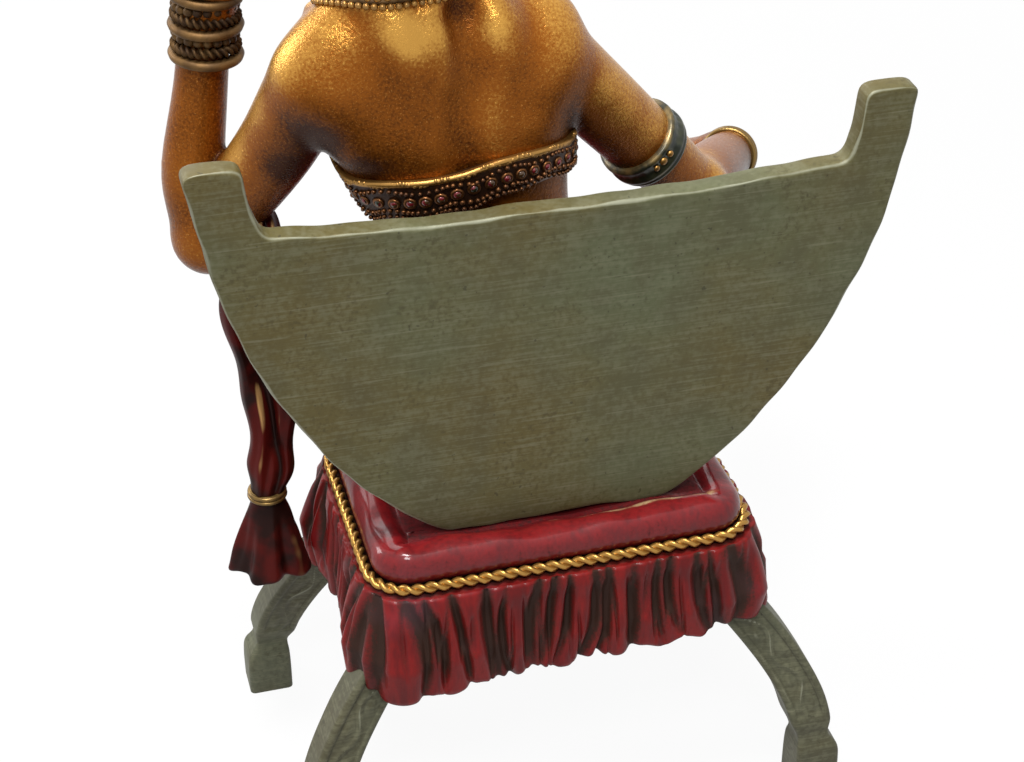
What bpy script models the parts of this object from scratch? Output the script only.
"""Seated dancer on a crescent-backed chair, a small painted bronze made of separate castings.

Metres, +Z up. The figure faces -Y and its left side is at +X. Everything is modelled about the foot
of the backrest's rear face, and hangs on one empty that sets the origin on the floor under the middle.
Castings meet at seams with one clearance, dowel pins and screws hold them, and jewellery hides the seams.
"""
import math

import bmesh
import bpy
import numpy as np
from mathutils import Matrix, Vector

# Clearance at every seam, pin and screw
FIT = 0.0003

# Chair: seat block, cushion, cord and gathered valance
SEAT_WIDTH = 0.0855
SEAT_DEPTH = 0.0580
SEAT_CORNER = 0.0090
SEAT_OVERHANG = 0.0100
BASE_FLOOR = 0.0500
BASE_HEIGHT = 0.0215
CUSHION_HEIGHT = 0.0067
CUSHION_INSET = 0.0018
CUSHION_SWELL = 0.0007
CUSHION_ROLL_WIDTH = 0.0066
CUSHION_ROLL_HEIGHT = 0.0015
CORD_DIAMETER = 0.0028
VALANCE_WALL = 0.0020
VALANCE_DROP = 0.0245
VALANCE_FLARE = 0.0078
VALANCE_DRAW = 0.40
VALANCE_FRONT_FULLNESS = 0.35
VALANCE_REAR_DRAW = 0.90
PLEAT_COUNT = 56
PLEAT_DEPTH = 0.0023
PLEAT_SHIFT = 0.22
PLEAT_LEAN = 0.80
PLEAT_BOW = 1.40
HEM_WAVE = 0.0007
HEM_LIFT = 0.0022

# Chair: crescent backrest
BACK_WIDTH = 0.1500
BACK_HEIGHT = 0.0956
BACK_THICKNESS = 0.0050
BACK_FOOT_WIDTH = 0.0480
BACK_SWEEP_HEIGHT = 0.1203
BACK_DIP_DEPTH = 0.0161
BACK_DIP_SAG = 0.0022
BACK_RECLINE = math.radians(1.5)
BACK_EDGE = 0.0006
HORN_WIDTH = 0.0116
HORN_FOOT_WIDTH = 0.0130
HORN_CROWN = 0.0018
TENON_WIDTH = 0.0100
TENON_THICKNESS = 0.0040
TENON_LENGTH = 0.0150
TENON_SPACING = 0.0300

# Chair: sabre legs with a knee, a notch and a block foot
LEG_TOP = 0.0580
LEG_SIDE_INSET = 0.0090
LEG_KNEE_HEIGHT = 0.0235
LEG_KNEE_SPREAD = 0.1155
LEG_WIDTH = 0.0100
LEG_TOP_TAPER = 0.80
LEG_DEPTH = 0.0093
LEG_TOP_INSET = 0.0080
LEG_BOW = 0.0010
LEG_SOFT_CORNER = 0.16
LEG_NOTCH = 0.0022
FOOT_BLOCK = 0.0108
FOOT_BLOCK_HEIGHT = 0.0145
FOOT_SPREAD = 0.1195
FOOT_SPLAY = 0.0048

# Screws and dowel pins
SCREW_HEAD = 0.0052
SCREW_HEAD_HEIGHT = 0.0020
SCREW_SHANK = 0.0026
SCREW_GRIP = 0.0070
FIGURE_SCREW_SPACING = 0.0260
PIN_DIAMETER = 0.0030
PIN_GRIP = 0.0055

# Figure: spine, and torso sections as rise above the waist, width, depth in front and depth behind
BODY_SETBACK = 0.0270
WAIST_RISE = 0.0335
SPINE_LEAN = math.radians(13.6)
LEAN_START = 0.0170
TORSO_SECTIONS = (
    (0.0000, 0.0370, 0.0140, 0.0120),
    (0.0120, 0.0365, 0.0138, 0.0118),
    (0.0340, 0.0430, 0.0150, 0.0132),
    (0.0460, 0.0490, 0.0185, 0.0142),
    (0.0540, 0.0520, 0.0170, 0.0145),
    (0.0660, 0.0540, 0.0122, 0.0130),
    (0.0745, 0.0470, 0.0104, 0.0116),
    (0.0800, 0.0320, 0.0092, 0.0102),
    (0.0860, 0.0178, 0.0082, 0.0086),
)
SHOULDER_RISE = 0.0655
SHOULDER_SPAN = 0.0475

# Figure: head and neck, sections as share of head height, head width, depth in front and depth behind
HEAD_HEIGHT = 0.0410
HEAD_WIDTH = 0.0262
HEAD_DEPTH = 0.0340
NECK_LENGTH = 0.0085
HEAD_SHIFT = 0.0030
HEAD_SECTIONS = (
    (-0.24, 0.31, 0.24, 0.25),
    (-0.08, 0.27, 0.20, 0.24),
    (0.00, 0.24, 0.40, 0.22),
    (0.07, 0.30, 0.45, 0.24),
    (0.20, 0.38, 0.45, 0.30),
    (0.35, 0.43, 0.45, 0.42),
    (0.50, 0.47, 0.45, 0.51),
    (0.64, 0.50, 0.46, 0.54),
    (0.80, 0.46, 0.41, 0.49),
    (0.92, 0.32, 0.27, 0.38),
    (1.00, 0.05, 0.04, 0.05),
)
NOSE_LENGTH = 0.0032
HAIR_WIDTH = 0.0300
HAIR_DEPTH = 0.0380
HAIR_HEIGHT = 0.0336
HAIR_SETBACK = 0.0016
COMB_RIBS = 22
COMB_DEPTH = 0.0005
HAIRLINE_TILT = math.radians(46)
BUN_DIAMETER = 0.0170

# Figure: arms as bone vectors from the shoulders, with limb diameters
LEFT_UPPER_ARM = Vector((0.02145, -0.0240, -0.0460))
LEFT_FOREARM = Vector((-0.0049, 0.0000, 0.0540))
LEFT_FOREARM_BOW = 0.0015
RIGHT_UPPER_ARM = Vector((-0.03975, -0.0138, -0.0452))
RIGHT_FOREARM = Vector((-0.0243, -0.0390, -0.0138))
SHOULDER_DIAMETER = 0.0194
UPPER_ARM_DIAMETER = 0.0168
ELBOW_DIAMETER = 0.0154
FOREARM_DIAMETER = 0.0164
WRIST_DIAMETER = 0.0124
ELBOW_SEAM = 0.64

# Figure: hands
PALM_LENGTH = 0.0160
PALM_WIDTH = 0.0135
PALM_THICKNESS = 0.0058
FINGER_LENGTH = 0.0150
FINGER_DIAMETER = 0.0030

# Figure: hips, lap and legs under the long skirt
HIP_WIDTH = 0.0660
HIP_DEPTH = 0.0400
LAP_HEIGHT = 0.0250
LAP_VALLEY = 0.0024
KNEE_REACH = 0.0740
KNEE_WIDTH = 0.0540
SHIN_DEPTH = 0.0220
SHIN_WIDTH = 0.0480
SKIRT_HEM = 0.0090
SKIRT_HEM_WIDTH = 0.0580
SKIRT_HEM_DEPTH = 0.0290
SKIRT_FOLDS = 11
SKIRT_FOLD_DEPTH = 0.00125
FOOT_LENGTH = 0.0420
FOOT_WIDTH = 0.0150
FOOT_SPACING = 0.0230
FOOT_SETBACK = 0.0060

# Dress and jewellery
BANDEAU_TOP = 0.0470
BANDEAU_BACK_HEIGHT = 0.0105
BANDEAU_FRONT_HEIGHT = 0.0190
BANDEAU_THICKNESS = 0.0014
GIRDLE_HEIGHT = 0.0070
GIRDLE_THICKNESS = 0.0020
NECKLACE_DIAMETER = 0.0026
NECKLACE_RISE = 0.0812
NECKLACE_DROP = 0.0060
BANGLE_COUNT = 6
BANGLE_PITCH = 0.0026
BANGLE_DEPTH = 0.0013
ARMLET_LENGTH = 0.0068
ARMLET_THICKNESS = 0.0016
BRACELET_LENGTH = 0.0050
BRACELET_THICKNESS = 0.0012

# Scarf over the left elbow: route from the lap, through the crook of the arm, to the gold band
SCARF_WIDTH = 0.0120
SCARF_THICKNESS = 0.0050
SCARF_ROUTE = (
    (0.0140, -0.0760, 0.1062),
    (0.0270, -0.0700, 0.1074),
    (0.0400, -0.0650, 0.1092),
    (0.0510, -0.0610, 0.1200),
    (0.0580, -0.0560, 0.1360),
    (0.0575, -0.0450, 0.1410),
    (0.0560, -0.0400, 0.1320),
    (0.0580, -0.0410, 0.1190),
    (0.0565, -0.0405, 0.1040),
    (0.0560, -0.0385, 0.0920),
    (0.0572, -0.0360, 0.0800),
    (0.0588, -0.0350, 0.0715),
)
SCARF_NECK = 0.0076
BAND_HEIGHT = 0.0036
BAND_THICKNESS = 0.0014
TASSEL_LENGTH = 0.0205
TASSEL_WIDTH = 0.0182
TASSEL_FOLDS = 5
TASSEL_FOLD_DEPTH = 0.0012

# Levels and places that follow from the sizes
base_top = BASE_FLOOR + BASE_HEIGHT
cushion_floor = base_top + FIT
seat_top = cushion_floor + CUSHION_HEIGHT
seat_middle = Vector((0, SEAT_OVERHANG - SEAT_DEPTH / 2, 0))
back_foot = seat_top + FIT
waist = seat_top + WAIST_RISE
knee_front = -BODY_SETBACK - KNEE_REACH
toe_tip = knee_front + SHIN_DEPTH + FOOT_SETBACK - FOOT_LENGTH
foot_depth = LEG_DEPTH * FOOT_BLOCK / LEG_WIDTH
rear_reach = seat_middle.y + SEAT_DEPTH / 2 + FOOT_SPLAY + foot_depth / 2
origin_shift = -(toe_tip + rear_reach) / 2

for old in list(bpy.data.objects):
    bpy.data.objects.remove(old)
parts = bpy.data.collections.new("seated_dancer")
cutters = bpy.data.collections.new("cutters")
for collection in (parts, cutters):
    bpy.context.scene.collection.children.link(collection)
frame = bpy.data.objects.new("seated_dancer_frame", None)
frame.location.y = origin_shift
parts.objects.link(frame)


def material(name, colour, roughness, metallic):
    made = bpy.data.materials.new(name)
    made.use_nodes = True
    shader = made.node_tree.nodes["Principled BSDF"]
    shader.inputs["Base Color"].default_value = (*colour, 1)
    shader.inputs["Roughness"].default_value = roughness
    shader.inputs["Metallic"].default_value = metallic
    return made


gilded_skin = material("gilded_skin", (0.50, 0.21, 0.04), 0.34, 0.9)
grey_green = material("grey_green_patina", (0.14, 0.14, 0.08), 0.55, 0.3)
red_paint = material("deep_red_paint", (0.28, 0.012, 0.012), 0.25, 0.0)
bright_gold = material("bright_gold", (0.62, 0.36, 0.08), 0.30, 1.0)
dark_bronze = material("dark_bronze", (0.06, 0.04, 0.02), 0.40, 0.8)
dark_hair = material("dark_hair", (0.02, 0.012, 0.008), 0.40, 0.3)
steel = material("steel", (0.45, 0.45, 0.45), 0.40, 1.0)


# Mesh building

def add(name, mesh, paint):
    """A named piece of the object, hung on the common frame."""
    piece = bpy.data.objects.new(name, mesh)
    piece.parent = frame
    mesh.materials.append(paint)
    mesh.shade_smooth()
    mesh.set_sharp_from_angle(angle=math.radians(40))
    parts.objects.link(piece)
    return piece


def add_cutter(mesh):
    cutter = bpy.data.objects.new(mesh.name + "_cutter", mesh)
    cutter.parent = frame
    cutter.hide_render = True
    cutter.display_type = "WIRE"
    cutters.objects.link(cutter)
    return cutter


def boolean(piece, mesh, operation):
    modifier = piece.modifiers.new(operation.lower(), "BOOLEAN")
    modifier.operation = operation
    modifier.solver = "EXACT"
    modifier.object = add_cutter(mesh)


def finish(name, bm):
    """A mesh whose faces all point out of the solid."""
    bmesh.ops.recalc_face_normals(bm, faces=bm.faces)
    if bm.calc_volume(signed=True) < 0:
        bmesh.ops.reverse_faces(bm, faces=bm.faces)
    mesh = bpy.data.meshes.new(name)
    bm.to_mesh(mesh)
    bm.free()
    return mesh


def grown(mesh, gap=FIT):
    """The same solid, larger by the gap all round: the room a neighbour leaves for it."""
    bm = bmesh.new()
    bm.from_mesh(mesh)
    bm.normal_update()
    moves = [vert.normal * gap * min(vert.calc_shell_factor(), 2) for vert in bm.verts]
    for vert, move in zip(bm.verts, moves):
        vert.co += move
    return finish(mesh.name + "_room", bm)


def make_room(piece, *neighbours):
    for mesh in neighbours:
        boolean(piece, grown(mesh), "DIFFERENCE")


def join(piece, *meshes):
    for mesh in meshes:
        boolean(piece, mesh, "UNION")


def loft(name, rings, closed=False):
    """Skin over rings of equal count: capped at both ends, or closed round into a hoop."""
    bm = bmesh.new()
    rows = [[bm.verts.new(point) for point in ring] for ring in rings]
    count = len(rows[0])
    pairs = list(zip(rows, rows[1:]))
    if closed:
        pairs.append((rows[-1], rows[0]))
    for low, high in pairs:
        for i in range(count):
            j = (i + 1) % count
            bm.faces.new((low[i], low[j], high[j], high[i]))
    if not closed:
        bm.faces.new(rows[0])
        bm.faces.new(rows[-1])
    return finish(name, bm)


def smooth_rows(rows, steps):
    """Catmull-Rom curve through rows of numbers, with a number of steps between each pair."""
    rows = np.array(rows, float)
    ends = np.vstack([2 * rows[0] - rows[1], rows, 2 * rows[-1] - rows[-2]])
    out = []
    for a, b, c, d in zip(ends, ends[1:], ends[2:], ends[3:]):
        for step in range(steps):
            t = step / steps
            out.append(b + t / 2 * (c - a + t * (2 * a - 5 * b + 4 * c - d + t * (3 * b - a - 3 * c + d))))
    out.append(rows[-1])
    return np.array(out)


def angles(count):
    return [2 * math.pi * i / count for i in range(count)]


def limb(name, stations, sides=12, steps=2, side=Vector((1, 0, 0)), relief=None, last_side=None):
    """Oval tube along stations of (x, y, z, radius along the side axis, radius across it).

    With a last side axis given, the tube turns its side axis over to it about half way along.
    """
    rows = smooth_rows(stations, steps)
    centres = [Vector(row[:3]) for row in rows]
    rings = []
    for k, row in enumerate(rows):
        ahead = centres[min(k + 1, len(rows) - 1)] - centres[max(k - 1, 0)]
        ahead.normalize()
        share = k / (len(rows) - 1)
        turned_over = min(max((share - 0.35) / 0.27, 0), 1)
        across = ahead.cross(side.lerp(last_side, turned_over) if last_side else side).normalized()
        along = across.cross(ahead)
        ring = []
        for t in angles(sides):
            swell = relief(t, share) if relief else 0
            out = along * (row[3] + swell) * math.cos(t)
            up = across * (row[4] + swell) * math.sin(t)
            ring.append(centres[k] + out + up)
        rings.append(ring)
    return loft(name, rings)


def stack_ring(row, sides, grow=0.0):
    """Level oval of a (x, y, z, half width, front, back) row."""
    x, y, z, half, front, back = row
    ring = []
    for t in angles(sides):
        depth = back if math.sin(t) > 0 else front
        ring.append(Vector((x + (half + grow) * math.cos(t), y + (depth + grow) * math.sin(t), z)))
    return ring


def loop_at(width, depth, corner, share):
    """Point at a share of the way round a rectangle with round corners, and its outward normal."""
    run_x = width - 2 * corner
    run_y = depth - 2 * corner
    arc = corner * math.pi / 2
    lengths = (run_y, arc, run_x, arc) * 2
    left = sum(lengths) * (share % 1)
    leg = 0
    while leg < 7 and left > lengths[leg]:
        left -= lengths[leg]
        leg += 1
    quarter = leg // 2
    turn = quarter * math.pi / 2 + (left / corner if leg % 2 else 0)
    normal = Vector((math.cos(turn), math.sin(turn), 0))
    run = run_x if quarter % 2 else run_y
    slide = left - run / 2 if leg % 2 == 0 else run / 2
    start = Vector((math.cos(quarter * math.pi / 2), math.sin(quarter * math.pi / 2), 0))
    tangent = Vector((-start.y, start.x, 0))
    reach = (run_y if quarter % 2 else run_x) / 2
    return seat_middle + start * reach + tangent * slide + normal * corner, normal


def tube(name, points, radius, closed):
    """Round wire through points, made a welded mesh so that it can be cut."""
    curve = bpy.data.curves.new(name, "CURVE")
    curve.dimensions = "3D"
    curve.bevel_depth = radius
    curve.bevel_resolution = 1
    curve.use_fill_caps = True
    spline = curve.splines.new("POLY")
    spline.points.add(len(points) - 1)
    for slot, point in zip(spline.points, points):
        slot.co = (*point, 1)
    spline.use_cyclic_u = closed
    return curve_mesh(name, curve)


def curve_mesh(name, curve):
    guide = bpy.data.objects.new(name + "_guide", curve)
    cutters.objects.link(guide)
    bpy.context.view_layer.update()
    evaluated = guide.evaluated_get(bpy.context.evaluated_depsgraph_get())
    bm = bmesh.new()
    raw = bpy.data.meshes.new_from_object(evaluated)
    bm.from_mesh(raw)
    bmesh.ops.remove_doubles(bm, verts=bm.verts, dist=1e-6)
    bmesh.ops.dissolve_limit(bm, angle_limit=math.radians(0.5), verts=bm.verts, edges=bm.edges)
    bpy.data.objects.remove(guide)
    bpy.data.meshes.remove(raw)
    return finish(name, bm)


def aim(start, direction):
    """Matrix that stands local +Z at a start point along a direction."""
    return Matrix.Translation(start) @ direction.to_track_quat("Z", "Y").to_matrix().to_4x4()


def turned(name, profile, start, direction, steps=16):
    """Solid of revolution from a closed (radius, height) profile that runs down its outer side."""
    bm = bmesh.new()
    verts = [bm.verts.new((radius, 0, height)) for radius, height in profile]
    ring = profile[0][0] > 0
    for a, b in zip(verts, verts[1:] + verts[:1] if ring else verts[1:]):
        bm.edges.new((a, b))
    mesh = bpy.data.meshes.new(name)
    bm.to_mesh(mesh)
    bm.free()
    blank = bpy.data.objects.new(name + "_blank", mesh)
    cutters.objects.link(blank)
    screw = blank.modifiers.new("turn", "SCREW")
    screw.steps = steps
    screw.render_steps = steps
    screw.use_merge_vertices = True
    screw.merge_threshold = 1e-6
    bpy.context.view_layer.update()
    evaluated = blank.evaluated_get(bpy.context.evaluated_depsgraph_get())
    solid = bpy.data.meshes.new_from_object(evaluated)
    bpy.data.objects.remove(blank)
    bm = bmesh.new()
    bm.from_mesh(solid)
    bmesh.ops.remove_doubles(bm, verts=bm.verts, dist=1e-6)
    bm.transform(aim(start, direction))
    return finish(name, bm)


def cylinder(name, start, end, diameter, sides=8):
    bm = bmesh.new()
    span = end - start
    place = aim((start + end) / 2, span)
    bmesh.ops.create_cone(bm, cap_ends=True, segments=sides, radius1=diameter / 2, radius2=diameter / 2,
                          depth=span.length, matrix=place)
    return finish(name, bm)


def pin(name, seam, direction, *holders):
    """Dowel pin through a seam, with a blind bore in each casting that it holds."""
    reach = direction.normalized() * PIN_GRIP
    add(name, cylinder(name, seam - reach, seam + reach, PIN_DIAMETER), steel)
    slack = direction.normalized() * FIT
    bore = cylinder(name + "_bore", seam - reach - slack, seam + reach + slack, PIN_DIAMETER + 2 * FIT)
    for piece in holders:
        boolean(piece, bore, "DIFFERENCE")


def screw_profile(length, extra=0.0, above=0.0):
    head = SCREW_HEAD / 2 + extra
    shank = SCREW_SHANK / 2 + extra
    return (
        (0, above),
        (head, above),
        (head, -SCREW_HEAD_HEIGHT / 2 - extra),
        (shank, -SCREW_HEAD_HEIGHT - extra),
        (shank, -length - extra),
        (0, -length - extra),
    )


def screw(name, head, axis, length, *holders):
    """Countersunk screw from its head along an axis, with its bore in all that it passes."""
    add(name, turned(name, screw_profile(length), head, -axis, steps=8), steel)
    bore = turned(name + "_bore", screw_profile(length, FIT, SCREW_HEAD), head, -axis, steps=8)
    for piece in holders:
        boolean(piece, bore, "DIFFERENCE")


# Chair

def seat_ring(inset, height, count=40):
    loop = [loop_at(SEAT_WIDTH, SEAT_DEPTH, SEAT_CORNER, i / count) for i in range(count)]
    return [point - normal * inset + Vector((0, 0, height)) for point, normal in loop]


def base_mesh():
    inset = VALANCE_WALL + FIT
    return loft("seat_base", [seat_ring(inset, BASE_FLOOR), seat_ring(inset, base_top)])


def cushion_mesh():
    """Pad with drawn-in foot, swollen side and a rolled edge round its flat top."""
    side = CUSHION_INSET
    roll = CUSHION_ROLL_WIDTH
    profile = (
        (side + CUSHION_SWELL, cushion_floor),
        (side - CUSHION_SWELL, cushion_floor + CUSHION_HEIGHT * 0.45),
        (side, cushion_floor + CUSHION_HEIGHT * 0.85),
        (side + roll * 0.22, seat_top + CUSHION_ROLL_HEIGHT * 0.75),
        (side + roll * 0.48, seat_top + CUSHION_ROLL_HEIGHT),
        (side + roll * 0.80, seat_top + CUSHION_ROLL_HEIGHT * 0.45),
        (side + roll, seat_top),
    )
    return loft("seat_cushion", [seat_ring(inset, height) for inset, height in profile])


def cord_mesh():
    lift = base_top + FIT + CORD_DIAMETER / 2
    outset = CORD_DIAMETER / 2 + FIT + CUSHION_SWELL - CUSHION_INSET
    return tube("seat_cord", seat_ring(-outset, lift, 56), CORD_DIAMETER / 2, True)


def fold_line(k, drop):
    """Where a groove of the valance lies at a share of its drop, counted in folds round the seat."""
    turn = k % PLEAT_COUNT
    lean = PLEAT_LEAN * math.sin(0.55 * turn + 1)
    bow = PLEAT_BOW * math.sin(0.8 * turn + 2)
    return k + PLEAT_SHIFT * math.sin(2.4 * turn) + lean * (drop - 0.5) + bow * (drop - 0.5) ** 2


def fold_depth(k, drop):
    """How far a groove is sunk at a share of its drop: it starts and ends at heights of its own."""
    top = -0.08 + 0.20 * math.sin(4.3 * k)
    end = 1.20 + 0.25 * math.sin(5.1 * k)
    return math.sin(math.pi * min(max((drop - top) / (end - top), 0), 1)) ** 0.6


def valance_point(share, drop, sunk):
    """Point on the outer face, how far out it stands, and its outward normal."""
    point, normal = loop_at(SEAT_WIDTH, SEAT_DEPTH, SEAT_CORNER, share)
    across = 2 * point.x / SEAT_WIDTH
    along = 2 * (point.y - seat_middle.y) / SEAT_DEPTH
    front_left = max((across - along) / 2, 0)
    rear_right = max((along - across) / 2, 0)
    skew = 1 + VALANCE_FRONT_FULLNESS * front_left - VALANCE_REAR_DRAW * rear_right * max(normal.y, 0)
    edge = VALANCE_FLARE * (VALANCE_DRAW + (1 - VALANCE_DRAW) * (across * along) ** 2 * skew)
    outs = (VALANCE_FLARE * 0.33, VALANCE_FLARE * 0.36 + edge * 0.10, VALANCE_FLARE * 0.08 + edge * 0.66,
            VALANCE_FLARE * 0.05 + edge * 1.10, edge)
    out = np.interp(drop, (0, 0.10, 0.25, 0.65, 1), outs)
    out += PLEAT_DEPTH * (0.25 + 0.75 * min(drop / 0.35, 1)) * (0.36 - sunk)
    wave = HEM_WAVE * math.sin(2 * math.pi * 23 * share + math.sin(10 * math.pi * share))
    fall = VALANCE_DROP * drop + drop ** 3 * (wave - HEM_LIFT * rear_right ** 2)
    return point + Vector((0, 0, base_top - fall)), out, normal


def valance_mesh():
    """Gathered skirt of the seat: leaning folds, drawn in along the sides and full at the corners."""
    rings = []
    for k in range(PLEAT_COUNT):
        for ridge in (False, True):
            ring = []
            for drop in (0, 0.12, 0.30, 0.55, 0.80, 1):
                groove = fold_line(k, drop)
                place = (groove + fold_line(k + 1, drop)) / 2 if ridge else groove
                sunk = 0 if ridge else fold_depth(k, drop)
                point, out, normal = valance_point(place / PLEAT_COUNT, drop, sunk)
                if drop == 0:
                    ring.append(point - normal * VALANCE_WALL)
                ring.append(point + normal * out)
            ring.append(point - normal * VALANCE_WALL)
            rings.append(ring)
    return loft("seat_valance", rings, closed=True)


def backrest_outline():
    """Half of the crescent from its foot to the middle of the dip, then the other half mirrored."""
    rise = BACK_HEIGHT - HORN_CROWN
    edge = BACK_WIDTH / 2
    foot = BACK_FOOT_WIDTH / 2
    through = [[edge ** 2, (rise - BACK_SWEEP_HEIGHT) ** 2], [foot ** 2, BACK_SWEEP_HEIGHT ** 2]]
    sweep = np.linalg.solve(through, [1, 1])
    half = []
    for k in range(15):
        height = rise * (k / 14) ** 1.3
        half.append((math.sqrt((1 - sweep[1] * (height - BACK_SWEEP_HEIGHT) ** 2) / sweep[0]), height))
    middle = edge - HORN_WIDTH / 2
    for k in range(1, 7):
        turn = math.pi * k / 6
        half.append((middle + HORN_WIDTH / 2 * math.cos(turn), rise + HORN_CROWN * math.sin(turn) ** 0.6))
    dip = BACK_HEIGHT - BACK_DIP_DEPTH
    corner = edge - HORN_WIDTH - (HORN_FOOT_WIDTH - HORN_WIDTH) * 2
    half.append((corner + HORN_FOOT_WIDTH * 0.03, dip + HORN_WIDTH * 0.12))
    for k in range(8):
        across = corner * (1 - k / 8) - HORN_FOOT_WIDTH * 0.08 * (k == 0)
        half.append((across, dip - BACK_DIP_SAG * (1 - (across / corner) ** 2)))
    return half + [(0, dip - BACK_DIP_SAG)] + [(-x, z) for x, z in reversed(half)]


def backrest_mesh():
    """Flat panel on its edge, leaning back a little about its rear foot."""
    curve = bpy.data.curves.new("backrest", "CURVE")
    curve.dimensions = "2D"
    curve.fill_mode = "BOTH"
    curve.extrude = BACK_THICKNESS / 2
    spline = curve.splines.new("POLY")
    outline = backrest_outline()
    spline.points.add(len(outline) - 1)
    for slot, (across, height) in zip(spline.points, outline):
        slot.co = (across, height, 0, 1)
    spline.use_cyclic_u = True
    mesh = curve_mesh("backrest", curve)
    mesh.transform(backrest_place() @ Matrix.Rotation(math.pi / 2, 4, "X"))
    return mesh


def backrest_place():
    """Middle of the panel's foot, leaned back about its rear edge."""
    lean = Matrix.Rotation(-BACK_RECLINE, 4, "X")
    return Matrix.Translation((0, 0, back_foot)) @ lean @ Matrix.Translation((0, -BACK_THICKNESS / 2, 0))


def tenon_mesh(side):
    """Tongue under the panel that passes through the cushion into the seat block."""
    root = TENON_LENGTH / 2
    bm = bmesh.new()
    block = Matrix.Diagonal((TENON_WIDTH, TENON_THICKNESS, TENON_LENGTH + root, 1))
    bmesh.ops.create_cube(bm, size=1, matrix=block)
    middle = Vector((side * TENON_SPACING / 2, 0, (root - TENON_LENGTH) / 2))
    bm.transform(backrest_place() @ Matrix.Translation(middle))
    return finish("tenon", bm)


def leg_path():
    """Centre line in the leg's own plane: out along the sabre curve to the knee, then down to the block."""
    top = Vector((SEAT_WIDTH / 2 - LEG_SIDE_INSET, LEG_TOP))
    knee = Vector((LEG_KNEE_SPREAD / 2, LEG_KNEE_HEIGHT))
    foot = FOOT_SPREAD / 2
    bow = Vector((0, LEG_BOW))
    notch = knee.lerp(Vector((foot, FOOT_BLOCK_HEIGHT)), 0.5)
    return (
        (*top, LEG_WIDTH * LEG_TOP_TAPER),
        (*(top.lerp(knee, 0.44) + bow * 0.8), LEG_WIDTH * 0.95),
        (*(top.lerp(knee, 0.75) + bow), LEG_WIDTH),
        (*knee, LEG_WIDTH * 1.02),
        (*notch, LEG_WIDTH - LEG_NOTCH),
        (foot, FOOT_BLOCK_HEIGHT, FOOT_BLOCK * 0.94),
        (foot, FOOT_BLOCK_HEIGHT * 0.7, FOOT_BLOCK),
        (foot, 0, FOOT_BLOCK),
    )


def leg_mesh(name, side, end):
    """Sabre leg of rectangular section with softened corners; side and end are signs in X and Y."""
    rings = []
    path = leg_path()
    top_y = SEAT_DEPTH / 2 - LEG_TOP_INSET
    foot_y = SEAT_DEPTH / 2 + FOOT_SPLAY
    for k, (x, z, width) in enumerate(path):
        drop = min((LEG_TOP - z) / (LEG_TOP - FOOT_BLOCK_HEIGHT), 1)
        y = top_y + (foot_y - top_y) * drop
        depth = LEG_DEPTH * width / LEG_WIDTH
        level = k == 0 or k >= 4
        before = path[max(k - 1, 0)]
        after = path[min(k + 1, len(path) - 1)]
        run = Vector((0, -1)) if level else Vector((after[0] - before[0], after[1] - before[1])).normalized()
        across = Vector((-run.y, run.x))
        flat = 1 - LEG_SOFT_CORNER
        ring = []
        for u, v in ((1, flat), (flat, 1), (-flat, 1), (-1, flat),
                     (-1, -flat), (-flat, -1), (flat, -1), (1, -flat)):
            out = x + across.x * u * width / 2
            up = z + across.y * u * width / 2
            ring.append(Vector((side * out, seat_middle.y + end * (y + v * depth / 2), up)))
        rings.append(ring)
    return loft(name, rings)


def build_chair():
    base = base_mesh()
    cushion = cushion_mesh()
    backrest = backrest_mesh()
    pieces = {
        "seat_base": add("seat_base", base, dark_bronze),
        "seat_cushion": add("seat_cushion", cushion, red_paint),
        "seat_valance": add("seat_valance", valance_mesh(), red_paint),
        "seat_cord": add("seat_cord", cord_mesh(), bright_gold),
        "backrest": add("backrest", backrest, grey_green),
    }
    edge = pieces["backrest"].modifiers.new("softened_edge", "BEVEL")
    edge.width = BACK_EDGE
    edge.segments = 1
    edge.limit_method = "ANGLE"
    edge.angle_limit = math.radians(50)
    tenons = [tenon_mesh(1), tenon_mesh(-1)]
    join(pieces["backrest"], *tenons)
    make_room(pieces["seat_base"], *tenons)
    make_room(pieces["seat_cushion"], backrest, *tenons)
    for end, end_name in ((-1, "front"), (1, "rear")):
        for side, side_name in ((1, "left"), (-1, "right")):
            name = "leg_" + end_name + "_" + side_name
            mesh = leg_mesh(name, side, end)
            pieces[name] = add(name, mesh, grey_green)
            make_room(pieces["seat_base"], mesh)
            make_room(pieces["seat_valance"], mesh)
            (x0, z0, _), (x1, z1, _) = leg_path()[:2]
            axis = Vector((side * (x1 - x0), 0, z1 - z0)).normalized()
            top_y = seat_middle.y + end * (SEAT_DEPTH / 2 - LEG_TOP_INSET)
            climb = (base_top - SCREW_HEAD / 2 - z0) / -axis.z
            head = Vector((side * x0, top_y, z0)) - axis * climb
            screw("leg_screw_" + end_name + "_" + side_name, head, axis, climb + SCREW_GRIP,
                  pieces["seat_base"], pieces[name])
    rest = Vector((0, math.sin(BACK_RECLINE), math.cos(BACK_RECLINE)))
    for side, side_name in ((1, "left"), (-1, "right")):
        seat = Vector((side * TENON_SPACING / 2, -BACK_THICKNESS / 2, back_foot)) - rest * TENON_LENGTH
        climb = (seat.z - BASE_FLOOR - SCREW_HEAD_HEIGHT) / rest.z
        screw("backrest_screw_" + side_name, seat - rest * climb, rest, climb + SCREW_GRIP,
              pieces["seat_base"], pieces["backrest"])
    return pieces


# Figure

def spine(height):
    """Middle of the body at a height: it leans to the figure's left above the hips."""
    lean = max(height - waist + LEAN_START, 0) * math.tan(SPINE_LEAN)
    return Vector((lean, -BODY_SETBACK, height))


def torso_rows():
    rows = []
    for rise, width, front, back in TORSO_SECTIONS:
        rows.append((*spine(waist + rise), width / 2, front, back))
    return smooth_rows(rows, 2)


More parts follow.
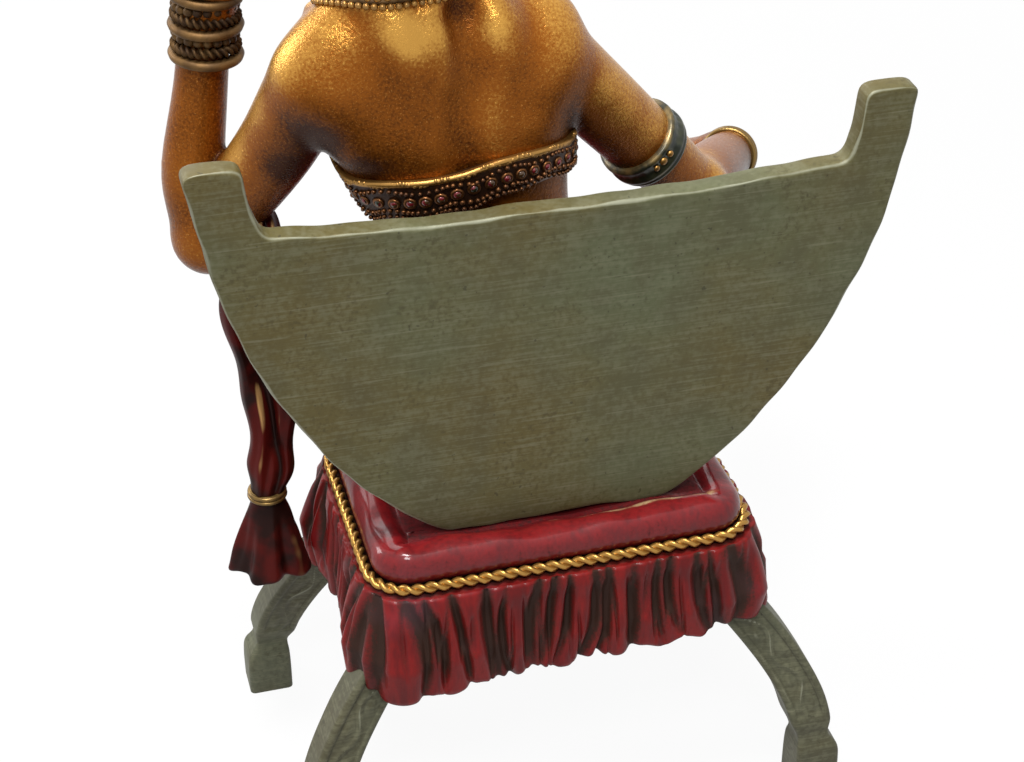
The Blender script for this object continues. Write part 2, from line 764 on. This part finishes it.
def torso_at(height):
    """Section of the torso at any height between waist and neck."""
    rows = torso_rows()
    return [np.interp(height, rows[:, 2], rows[:, k]) for k in range(6)]


def on_torso(turn, height, grow):
    x, y, z, half, front, back = torso_at(height)
    depth = back if math.sin(turn) > 0 else front
    return Vector((x + (half + grow) * math.cos(turn), y + (depth + grow) * math.sin(turn), z))


def torso_mesh():
    return loft("torso", [stack_ring(row, 20) for row in torso_rows()])


neck_seam = spine(waist + TORSO_SECTIONS[-1][0])
head_floor = neck_seam.z + FIT
chin = head_floor + NECK_LENGTH


def head_mesh():
    """Neck, jaw and skull as level ovals; brow, nose and lips swell from the front of them."""
    rows = []
    for share, width, front, back in HEAD_SECTIONS:
        drift = HEAD_SHIFT * min(max(share + 0.24, 0) / 0.5, 1)
        height = chin + share * HEAD_HEIGHT if share > -0.24 else head_floor
        middle = (neck_seam.x + drift, neck_seam.y - drift, height)
        rows.append((*middle, width * HEAD_WIDTH, front * HEAD_DEPTH, back * HEAD_DEPTH))
    rows = smooth_rows(rows, 2)
    rings = []
    for row in rows:
        level = (row[2] - chin) / HEAD_HEIGHT
        ring = stack_ring(row, 20)
        for point in ring:
            aside = (point.x - row[0]) / HEAD_WIDTH
            facing = max(-(point.y - row[1]) / HEAD_DEPTH, 0) * 2
            bridge = math.exp(-((aside / 0.075) ** 2)) * max(1 - abs(level - 0.38) / 0.17, 0)
            lips = math.exp(-((aside / 0.13) ** 2) - ((level - 0.22) / 0.05) ** 2)
            sockets = math.exp(-(((abs(aside) - 0.2) / 0.1) ** 2) - ((level - 0.5) / 0.06) ** 2)
            point.y -= facing * NOSE_LENGTH * (bridge + 0.3 * lips - 0.4 * sockets)
        rings.append(ring)
    return loft("head", rings)


def hair_mesh():
    """Cap of hair over the skull: an egg ribbed from brow to nape as the comb leaves it."""
    setback = HAIR_SETBACK - HEAD_SHIFT
    middle = neck_seam + Vector((HEAD_SHIFT, setback, chin + HEAD_HEIGHT * 0.63 - neck_seam.z))
    rings = []
    for k in range(1, 14):
        slope = math.pi * k / 14
        ring = []
        for i, t in enumerate(angles(2 * COMB_RIBS)):
            rib = COMB_DEPTH / 2 * math.sin(slope) * (1 if i % 2 else -1)
            wide = HAIR_WIDTH / 2 * math.sin(slope) + rib
            high = HAIR_HEIGHT / 2 * math.sin(slope) + rib
            back = -HAIR_DEPTH / 2 * math.cos(slope)
            ring.append(middle + Vector((wide * math.cos(t), back, high * math.sin(t))))
        rings.append(ring)
    return loft("hair", rings)


def bun_mesh():
    bm = bmesh.new()
    middle = Vector((neck_seam.x + HEAD_SHIFT, neck_seam.y + HEAD_DEPTH * 0.60, chin + HEAD_HEIGHT * 0.62))
    bmesh.ops.create_uvsphere(bm, u_segments=16, v_segments=10, radius=BUN_DIAMETER / 2,
                              matrix=Matrix.Translation(middle) @ Matrix.Diagonal((1.1, 0.9, 1, 1)))
    return finish("bun", bm)


def hairline_mesh():
    """Block that keeps the hair above and behind a line from the forehead to the nape."""
    size = 3 * HEAD_HEIGHT
    front = Vector((neck_seam.x + HEAD_SHIFT, neck_seam.y - HEAD_DEPTH * 0.42, chin + HEAD_HEIGHT * 0.84))
    bm = bmesh.new()
    bmesh.ops.create_cube(bm, size=size)
    bm.transform(Matrix.Translation(front) @ Matrix.Rotation(-HAIRLINE_TILT, 4, "X")
                 @ Matrix.Translation((0, 0, size / 2)))
    return finish("hairline", bm)


def left_arm_meshes(shoulder):
    """Upper arm down to the bent elbow, and the forearm standing up from it."""
    elbow = shoulder + LEFT_UPPER_ARM
    wrist = elbow + LEFT_FOREARM
    upper = limb("upper_arm_left", arm_stations(shoulder, elbow), 12, 2)
    fore = limb("forearm_left", forearm_stations(elbow, wrist), 12, 2)
    return upper, fore


def arm_stations(shoulder, elbow):
    """Rounded shoulder cap, a full upper arm and a narrower end at the elbow."""
    bone = elbow - shoulder
    inward = bone.normalized() * SHOULDER_DIAMETER / 2
    cap = SHOULDER_DIAMETER / 2
    full = UPPER_ARM_DIAMETER / 2
    joint = ELBOW_DIAMETER / 2
    return (
        (*(shoulder - inward * 0.92), cap * 0.35, cap * 0.35),
        (*(shoulder - inward * 0.60), cap * 0.78, cap * 0.78),
        (*shoulder, cap, cap),
        (*(shoulder + bone * 0.40), full, full),
        (*(shoulder + bone * 0.80), joint * 0.98, joint * 0.98),
        (*elbow, joint, joint),
        (*(elbow + bone.normalized() * joint * 0.62), joint * 0.72, joint * 0.72),
        (*(elbow + bone.normalized() * joint * 0.90), joint * 0.30, joint * 0.30),
    )


def forearm_stations(elbow, wrist):
    bone = wrist - elbow
    back = bone.normalized() * ELBOW_DIAMETER / 2
    joint = ELBOW_DIAMETER / 2
    full = FOREARM_DIAMETER / 2
    end = WRIST_DIAMETER / 2
    bow = Vector((LEFT_FOREARM_BOW, 0, 0))
    return (
        (*(elbow - back * 0.90), joint * 0.30, joint * 0.30),
        (*(elbow - back * 0.60), joint * 0.74, joint * 0.74),
        (*elbow, joint, joint),
        (*(elbow + bone * 0.30 + bow), full, full),
        (*(elbow + bone * 0.68 + bow * 0.6), (full + end) / 2, (full + end) / 2),
        (*wrist, end, end),
    )


def right_arm_meshes(shoulder):
    """The arm bends a little at the elbow and parts under the armlet, above the elbow."""
    elbow = shoulder + RIGHT_UPPER_ARM
    wrist = elbow + RIGHT_FOREARM
    bone = elbow - shoulder
    fore = wrist - elbow
    seam = shoulder + bone * ELBOW_SEAM
    cut = bone.normalized() * FIT
    girth = (UPPER_ARM_DIAMETER + ELBOW_DIAMETER) / 4
    upper = limb("upper_arm_right", (*arm_stations(shoulder, elbow)[:4], (*seam, girth, girth)), 14, 2)
    full = FOREARM_DIAMETER / 2
    joint = ELBOW_DIAMETER / 2
    end = WRIST_DIAMETER / 2
    lower = limb("forearm_right", (
        (*(seam + cut), girth, girth),
        (*(shoulder + bone * 0.82), joint * 1.01, joint * 1.01),
        (*(elbow + (fore - bone) * 0.02), joint * 1.03, joint * 1.03),
        (*(elbow + fore * 0.30), full, full),
        (*(elbow + fore * 0.68), (full + end) / 2, (full + end) / 2),
        (*wrist, end, end),
    ), 14, 2)
    return upper, lower, seam, bone


def hand_meshes(name, side, wrist, reach, palm, curl):
    """Palm, four fingers and a thumb; reach points along the hand and palm out of its inner face."""
    reach = reach.normalized()
    palm = (palm - reach * palm.dot(reach)).normalized()
    thumb_side = palm.cross(reach) * side
    half = PALM_WIDTH / 2
    thick = PALM_THICKNESS / 2
    end = WRIST_DIAMETER / 2
    knuckles = wrist + reach * PALM_LENGTH
    body = limb(name, (
        (*wrist, end, end),
        (*(wrist + reach * PALM_LENGTH * 0.25), end * 0.92, end * 0.72),
        (*(wrist + reach * PALM_LENGTH * 0.65), half, thick * 1.1),
        (*knuckles, half * 0.98, thick),
        (*(knuckles + reach * FINGER_DIAMETER * 0.6), half * 0.75, thick * 0.55),
    ), 12, 2, thumb_side)
    girth = FINGER_DIAMETER / 2
    digits = []
    for k, share in enumerate((0.92, 1.0, 0.94, 0.78)):
        root = knuckles + thumb_side * half * (0.74 - 0.49 * k) - reach * FINGER_DIAMETER
        length = FINGER_LENGTH * share
        splay = thumb_side * (0.14 - 0.09 * k)
        mid = root + (reach + splay) * length * 0.55 + palm * curl * length * 0.10
        tip = root + (reach + splay) * length * 1.10 + palm * curl * length * 0.42
        digits.append(limb(name + "_finger", (
            (*root, girth, girth),
            (*mid, girth, girth),
            (*tip, girth * 0.72, girth * 0.72),
            (*(tip + (tip - mid) * 0.10), girth * 0.30, girth * 0.30),
        ), 6, 1, thumb_side))
    base = wrist + reach * PALM_LENGTH * 0.40 + thumb_side * half * 0.55
    bend = base + (reach * 0.55 + thumb_side * 0.62 + palm * 0.30) * FINGER_LENGTH * 0.5
    tip = bend + (reach * 0.85 + thumb_side * 0.25 + palm * 0.25) * FINGER_LENGTH * 0.5
    digits.append(limb(name + "_thumb", (
        (*base, girth * 1.25, girth * 1.25),
        (*bend, girth * 1.10, girth * 1.10),
        (*tip, girth * 0.80, girth * 0.80),
        (*(tip + (tip - bend) * 0.12), girth * 0.35, girth * 0.35),
    ), 6, 1, thumb_side))
    return body, digits


def hips_mesh():
    """Waist, hips and seat, flattened where they rest on the cushion."""
    low = seat_top + FIT
    top = torso_at(waist)
    hip = HIP_WIDTH / 2
    deep = HIP_DEPTH / 2
    rows = (
        (*spine(low)[:2], low, hip * 0.84, deep * 0.80, deep * 0.80),
        (*spine(low)[:2], low + WAIST_RISE * 0.20, hip * 0.99, deep, deep),
        (*spine(low)[:2], low + WAIST_RISE * 0.50, hip * 0.98, deep, deep * 0.92),
        (*spine(low + WAIST_RISE * 0.80)[:2], low + WAIST_RISE * 0.80, hip * 0.72, deep * 0.80, deep * 0.70),
        (*spine(waist)[:2], waist - FIT, top[3], top[4], top[5]),
    )
    return loft("skirt", [stack_ring(row, 24) for row in smooth_rows(rows, 2)])


def legs_mesh():
    """Both legs under one cloth: thighs with a valley between, full knees, folds that open to the hem."""
    mid = seat_top + FIT + LAP_HEIGHT / 2
    lap = LAP_HEIGHT / 2
    calf = SHIN_DEPTH / 2
    shin = knee_front + calf
    hip = HIP_WIDTH / 2
    knee = KNEE_WIDTH / 2
    crook = Vector((0, shin + calf, mid - lap))
    up = Vector((0, 0, 1))
    ahead = Vector((0, -1, 0))
    rows = [
        (Vector((0, -BODY_SETBACK, mid)), up, hip * 0.88, lap),
        (Vector((0, -BODY_SETBACK - KNEE_REACH * 0.25, mid)), up, hip * 0.94, lap),
        (Vector((0, -BODY_SETBACK - KNEE_REACH * 0.50, mid)), up, hip * 0.90, lap),
        (Vector((0, crook.y + 0.1 * lap, mid)), up, knee * 1.04, lap),
    ]
    for turn, reach in ((18, lap * 1.04), (36, lap * 1.12), (54, lap * 1.10), (72, calf * 1.08)):
        outward = up * math.cos(math.radians(turn)) + ahead * math.sin(math.radians(turn))
        rows.append((crook + outward * (reach + 0.1 * lap), outward, knee * 1.02, reach))
    for height, wide, deep in (
            (crook.z - 0.1 * lap, knee * 0.98, calf),
            (crook.z * 0.80 + SKIRT_HEM * 0.20, SHIN_WIDTH / 2 * 1.04, calf * 0.94),
            (crook.z * 0.55 + SKIRT_HEM * 0.45, SHIN_WIDTH / 2 * 1.04, calf * 0.94),
            (crook.z * 0.30 + SKIRT_HEM * 0.70, SHIN_WIDTH / 2 * 1.08, calf * 1.04),
            (SKIRT_HEM * 2, SKIRT_HEM_WIDTH / 2 * 0.96, SKIRT_HEM_DEPTH / 2 * 0.92),
            (SKIRT_HEM, SKIRT_HEM_WIDTH / 2, SKIRT_HEM_DEPTH / 2)):
        rows.append((Vector((0, shin, height)), ahead, wide, deep))
    rings = []
    for centre, outward, wide, deep in rows:
        hang = min(max((crook.z - centre.z) / (crook.z - SKIRT_HEM), 0), 1)
        ring = []
        for t in angles(4 * SKIRT_FOLDS):
            x = wide * math.copysign(abs(math.cos(t)) ** 0.85, math.cos(t))
            rise = deep * math.copysign(abs(math.sin(t)) ** 0.85, math.sin(t))
            if rise > 0:
                rise -= LAP_VALLEY * (1 - hang) * math.exp(-((x / (0.2 * knee)) ** 2))
            point = Vector((x, 0, 0)) + outward * rise
            turn = math.atan2(-rise, 0.62 * x) + 0.10 * math.sin(130 * centre.z)
            fold = SKIRT_FOLD_DEPTH * hang * math.cos(SKIRT_FOLDS * turn)
            ring.append(centre + point + point.normalized() * fold)
        rings.append(ring)
    return loft("skirt_legs", rings)


def foot_mesh(name, side):
    """Bare foot flat on the floor: heel, instep up to the hem, and toes."""
    shin = knee_front + SHIN_DEPTH / 2
    heel = toe_tip + FOOT_LENGTH
    x = side * FOOT_SPACING / 2
    half = FOOT_WIDTH / 2
    top = SKIRT_HEM + FIT
    rows = (
        (heel, half * 0.42, top * 0.50),
        (heel - FOOT_LENGTH * 0.05, half * 0.62, top * 0.80),
        (shin, half * 0.74, top),
        (shin - FOOT_LENGTH * 0.25, half * 0.86, top * 0.84),
        (toe_tip + FOOT_LENGTH * 0.22, half, top * 0.52),
        (toe_tip + FOOT_LENGTH * 0.07, half * 0.86, top * 0.36),
        (toe_tip, half * 0.55, top * 0.22),
    )
    rings = []
    for y, wide, high in smooth_rows(rows, 2):
        lean = side * (shin - y) * 0.10
        ring = []
        for t in angles(14):
            up = high / 2 + high / 2 * math.copysign(abs(math.sin(t)) ** 0.75, math.sin(t))
            out = wide * math.copysign(abs(math.cos(t)) ** 0.8, math.cos(t))
            ring.append(Vector((x + lean + out, y, up)))
        rings.append(ring)
    return loft(name, rings)


def band_on_torso(name, count, low, high, thickness):
    """Hoop round the torso between two heights that may change with the turn; its inside is cut to fit."""
    rings = []
    for turn in angles(count):
        bottom, top = low(turn), high(turn)
        section = (
            (bottom, -thickness),
            (bottom, thickness),
            ((bottom + top) / 2, thickness * 1.15),
            (top, thickness),
            (top, -thickness),
        )
        rings.append([on_torso(turn, height, grow) for height, grow in section])
    return loft(name, rings, closed=True)


def bandeau_mesh():
    """Breast band: narrow across the back, taller over the bust."""
    def front(turn):
        return max(-math.sin(turn), 0) ** 2

    def high(turn):
        return waist + BANDEAU_TOP + 0.35 * (BANDEAU_FRONT_HEIGHT - BANDEAU_BACK_HEIGHT) * front(turn)

    def low(turn):
        height = BANDEAU_BACK_HEIGHT + (BANDEAU_FRONT_HEIGHT - BANDEAU_BACK_HEIGHT) * front(turn)
        return high(turn) - height

    return band_on_torso("bandeau", 24, low, high, BANDEAU_THICKNESS)


def girdle_mesh():
    """Belt over the seam between torso and skirt."""
    x, y, _, half, front, back = torso_at(waist)
    rings = []
    for turn in angles(24):
        depth = back if math.sin(turn) > 0 else front
        out = Vector((math.cos(turn) * half, math.sin(turn) * depth, 0))
        away = Vector((math.cos(turn), math.sin(turn), 0))
        section = []
        for level, grow in ((-0.5, -1), (-0.5, 1.6), (0, 1.9), (0.5, 1.0), (0.5, -1)):
            middle = Vector((x, y, waist + level * GIRDLE_HEIGHT))
            section.append(middle + out + away * grow * GIRDLE_THICKNESS)
        rings.append(section)
    return loft("girdle", rings, closed=True)


def necklace_mesh():
    """Bead collar that lies on the shoulders, lower in front."""
    points = []
    for turn in angles(28):
        height = waist + NECKLACE_RISE - NECKLACE_DROP * (0.5 - 0.5 * math.sin(turn))
        points.append(on_torso(turn, height, NECKLACE_DIAMETER * 0.35))
    return tube("necklace", points, NECKLACE_DIAMETER / 2, True)


def ring_profile(radius, thickness, length, ribs):
    """Closed section of a ring round a limb, with rounded ribs outside; its inside is cut to fit."""
    inner = radius - thickness
    outer = radius + thickness + FIT
    outside = []
    for k in range(ribs):
        top = length / 2 - length * k / ribs
        step = length / ribs
        outside += [(outer - (outer - inner) * 0.30, top), (outer, top - step / 2)]
    outside.append((outer - (outer - inner) * 0.30, -length / 2))
    return [(inner, length / 2)] + outside + [(inner, -length / 2)]


def scarf_mesh():
    """Twisted shawl: flat on the lap, over the crook of the arm, gathered to a neck at its end."""
    stations = []
    last = len(SCARF_ROUTE) - 1
    for k, point in enumerate(SCARF_ROUTE):
        gather = max(k - last + 2, 0) / 2
        wide = SCARF_WIDTH / 2 * (1 - gather) + SCARF_NECK / 2 * gather
        thick = SCARF_THICKNESS / 2 * (1 - gather) + SCARF_NECK / 2 * gather
        stations.append((*point, wide, thick))

    def relief(turn, along):
        return 0.12 * SCARF_THICKNESS * math.cos(3 * turn + 9 * along)

    return limb("scarf", stations, 12, 2, Vector((0.20, 0.94, 0)), relief, Vector((0.95, -0.30, 0)))


def tassel_mesh():
    """Fluted bell of gathered cloth under the gold band."""
    x, y, z = SCARF_ROUTE[-1]
    top = z - FIT
    rows = (
        (0.00, SCARF_NECK / 2),
        (0.10, SCARF_NECK / 2),
        (0.30, TASSEL_WIDTH * 0.31),
        (0.62, TASSEL_WIDTH * 0.41),
        (1.00, TASSEL_WIDTH / 2),
    )
    rings = []
    for share, radius in smooth_rows(rows, 2):
        ring = []
        for t in angles(6 * TASSEL_FOLDS):
            loose = min(max(share - 0.10, 0) / 0.65, 1)
            fold = TASSEL_FOLD_DEPTH * loose * math.cos(TASSEL_FOLDS * t + 0.8 * math.sin(3 * t))
            out = radius + fold
            around = Vector((out * math.cos(t), out * 0.8 * math.sin(t), -share * TASSEL_LENGTH))
            ring.append(Vector((x, y, top)) + around)
        rings.append(ring)
    return loft("scarf_tassel", rings)


def build_figure(chair):
    torso = torso_mesh()
    head = head_mesh()
    hips = hips_mesh()
    legs = legs_mesh()
    body = add("torso", torso, gilded_skin)
    head_piece = add("head", head, gilded_skin)
    skirt = add("skirt", hips, red_paint)
    join(skirt, legs)
    make_room(skirt, chair["seat_cushion"].data)

    hair = add("hair", hair_mesh(), dark_hair)
    boolean(hair, hairline_mesh(), "INTERSECT")
    join(hair, bun_mesh())
    make_room(hair, head)

    middle = spine(waist + SHOULDER_RISE)
    left_shoulder = middle + Vector((SHOULDER_SPAN / 2, 0, 0))
    right_shoulder = middle - Vector((SHOULDER_SPAN / 2, 0, 0))
    upper_left, fore_left = left_arm_meshes(left_shoulder)
    upper_right, fore_right, elbow_seam, upper_bone = right_arm_meshes(right_shoulder)
    arm_left = add("arm_left", upper_left, gilded_skin)
    join(arm_left, fore_left)
    arm_right = add("upper_arm_right", upper_right, gilded_skin)
    forearm_right = add("forearm_right", fore_right, gilded_skin)
    make_room(arm_left, torso)
    make_room(arm_right, torso)

    left_wrist = left_shoulder + LEFT_UPPER_ARM + LEFT_FOREARM
    right_wrist = right_shoulder + RIGHT_UPPER_ARM + RIGHT_FOREARM
    left_reach = (LEFT_FOREARM.normalized() + Vector((-0.22, -0.05, 0))).normalized()
    right_reach = Vector((0.05, -0.92, -0.38)).normalized()
    left_root = left_wrist + LEFT_FOREARM.normalized() * FIT
    right_root = right_wrist + RIGHT_FOREARM.normalized() * FIT
    inward = Vector((-0.8, -0.6, 0))
    downward = Vector((0.15, 0, -1))
    left_palm, left_digits = hand_meshes("hand_left", 1, left_root, left_reach, inward, 0.9)
    right_palm, right_digits = hand_meshes("hand_right", -1, right_root, right_reach, downward, 0.6)
    hand_left = add("hand_left", left_palm, gilded_skin)
    join(hand_left, *left_digits)
    make_room(hand_left, fore_left)
    hand_right = add("hand_right", right_palm, gilded_skin)
    join(hand_right, *right_digits)
    make_room(hand_right, fore_right)

    feet = {}
    for side, side_name in ((1, "left"), (-1, "right")):
        feet[side_name] = add("foot_" + side_name, foot_mesh("foot_" + side_name, side), gilded_skin)
        make_room(feet[side_name], legs)

    bandeau = add("bandeau", bandeau_mesh(), dark_bronze)
    make_room(bandeau, torso, upper_left, upper_right)
    girdle = add("girdle", girdle_mesh(), bright_gold)
    make_room(girdle, torso, hips)
    necklace = add("necklace", necklace_mesh(), bright_gold)
    make_room(necklace, torso, head, upper_left, upper_right)

    half = WRIST_DIAMETER / 2
    stack = BANGLE_COUNT * BANGLE_PITCH
    profile = ring_profile(half, BANGLE_DEPTH, stack, BANGLE_COUNT)
    bangles_middle = left_wrist - LEFT_FOREARM.normalized() * stack * 0.18
    bangles = turned("bangles_left", profile, bangles_middle, LEFT_FOREARM)
    make_room(add("bangles_left", bangles, dark_bronze), fore_left, left_palm)
    girth = (UPPER_ARM_DIAMETER + ELBOW_DIAMETER) / 4
    profile = ring_profile(girth, ARMLET_THICKNESS, ARMLET_LENGTH, 1)
    armlet = turned("armlet_right", profile, elbow_seam, upper_bone)
    make_room(add("armlet_right", armlet, dark_bronze), upper_right, fore_right)
    profile = ring_profile(half, BRACELET_THICKNESS, BRACELET_LENGTH, 2)
    bracelet = turned("bracelet_right", profile, right_wrist, RIGHT_FOREARM)
    make_room(add("bracelet_right", bracelet, bright_gold), fore_right, right_palm)

    scarf = scarf_mesh()
    scarf_piece = add("scarf", scarf, red_paint)
    make_room(scarf_piece, upper_left, fore_left, hips, legs)
    tassel = tassel_mesh()
    make_room(add("scarf_tassel", tassel, red_paint), scarf, chair["seat_valance"].data)
    up = Vector((0, 0, 1))
    profile = ring_profile(SCARF_NECK / 2, BAND_THICKNESS, BAND_HEIGHT, 1)
    band = turned("scarf_band", profile, Vector(SCARF_ROUTE[-1]), up)
    make_room(add("scarf_band", band, bright_gold), scarf, tassel)

    pin("waist_pin", spine(waist), up, body, skirt)
    pin("neck_pin", neck_seam, up, body, head_piece)
    for name, turn, arm in (("left", 0, arm_left), ("right", math.pi, arm_right)):
        edge = on_torso(turn, middle.z, 0)
        pin("shoulder_pin_" + name, edge, edge - middle, body, arm)
    pin("wrist_pin_left", left_wrist, LEFT_FOREARM, arm_left, hand_left)
    pin("elbow_pin_right", elbow_seam, upper_bone, arm_right, forearm_right)
    pin("wrist_pin_right", right_wrist, RIGHT_FOREARM, forearm_right, hand_right)
    shin = knee_front + SHIN_DEPTH / 2
    for side, side_name in ((1, "left"), (-1, "right")):
        seam = Vector((side * FOOT_SPACING / 2, shin, SKIRT_HEM))
        pin("ankle_pin_" + side_name, seam, up, feet[side_name], skirt)
        head_place = Vector((side * FIGURE_SCREW_SPACING / 2, -BODY_SETBACK, BASE_FLOOR + SCREW_HEAD_HEIGHT))
        screw("figure_screw_" + side_name, head_place, up, seat_top - head_place.z + SCREW_GRIP,
              chair["seat_base"], chair["seat_cushion"], skirt)


build_figure(build_chair())
